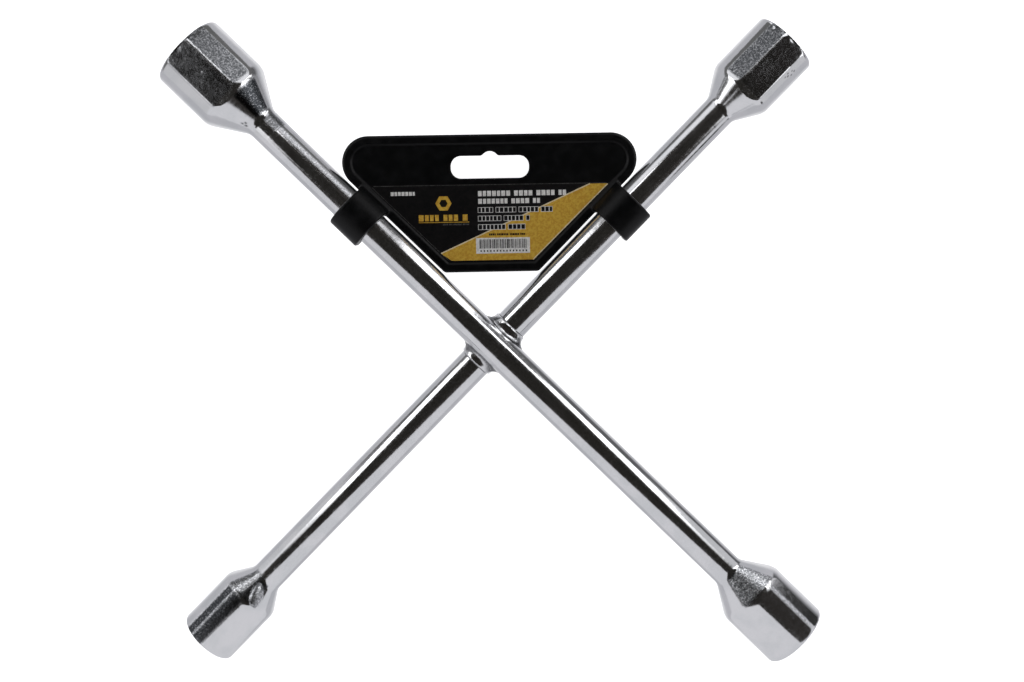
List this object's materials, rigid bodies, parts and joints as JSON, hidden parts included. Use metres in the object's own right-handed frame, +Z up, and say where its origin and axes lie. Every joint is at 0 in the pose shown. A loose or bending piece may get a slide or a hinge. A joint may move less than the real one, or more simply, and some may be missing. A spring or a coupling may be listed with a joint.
{
  "type": "lug wrench",
  "caption": "Cross-shaped lug wrench: round chrome bars welded where they cross, a hexagonal socket at each end, and a black plastic display hanger clipped across one corner.",
  "frame": {"origin": "on the plane the wrench lies on, straight under the point where the two bars cross", "axes": "+Z up out of the face that carries the display hanger; +X along the rear bar towards the 19 mm socket; +Y along the front bar towards the 23 mm socket; the hanger lies between +X and +Y"},
  "size_m": [0.3525, 0.354, 0.0365],
  "materials": {
    "chrome": "bright chrome plating over forged steel, a little rough where it was forged",
    "hanger_plastic": "satin moulded black plastic",
    "label_print": "black and gold printed label, plain marks with no words"
  },
  "bodies": {
    "wrench": {"front_bar": "chrome", "rear_bar": "chrome", "centre_weld": "chrome", "socket_23": "chrome", "socket_21": "chrome", "socket_19": "chrome", "socket_17": "chrome"},
    "hanger": {"hanger_plate": "hanger_plastic", "front_bar_clip": "hanger_plastic", "rear_bar_clip": "hanger_plastic", "label_card": "label_print"}
  },
  "joints": [
    {"name": "hanger_pull", "type": "slide", "parent": "wrench", "child": "hanger", "axis": [0, 0, 1], "range_m": [0, 0.04]}
  ]
}
